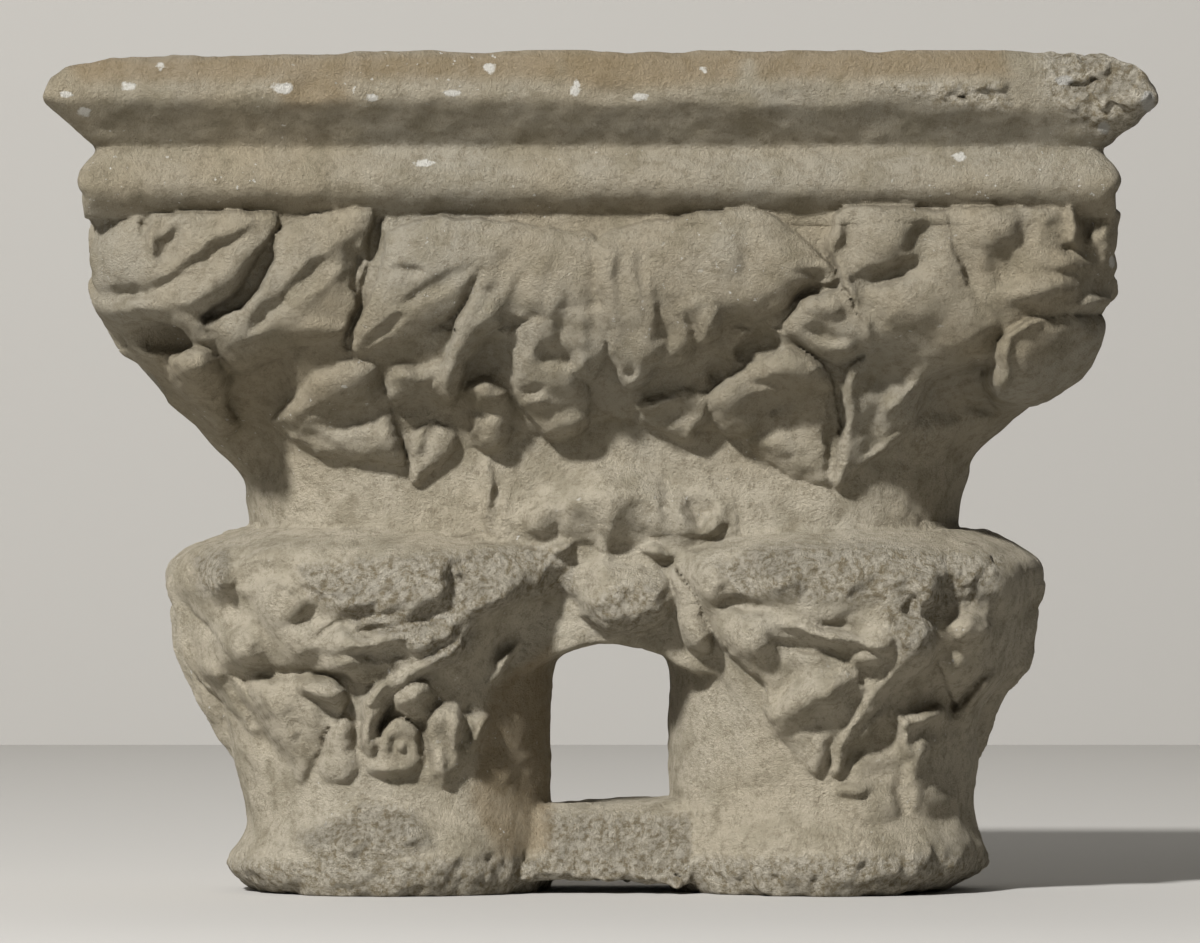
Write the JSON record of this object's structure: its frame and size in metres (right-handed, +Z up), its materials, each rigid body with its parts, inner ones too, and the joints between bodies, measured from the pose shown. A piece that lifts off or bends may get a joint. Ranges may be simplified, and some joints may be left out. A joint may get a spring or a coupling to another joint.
{
  "type": "double capital",
  "caption": "Carved limestone capital for a pair of shafts: moulded rectangular abacus, an upper tier of leaves with a beast's mask, and two leafy lower bells with a gap between them",
  "frame": {"origin": "middle of the abacus's footprint, at the level of the two shaft seats that it rests on", "axes": "+X along the pair of shafts, +Y towards the plainer back, +Z up"},
  "size_m": [0.5, 0.32, 0.381],
  "materials": {
    "stone": "matte"
  },
  "bodies": {
    "root": {"double_capital": "stone"}
  },
  "joints": []
}
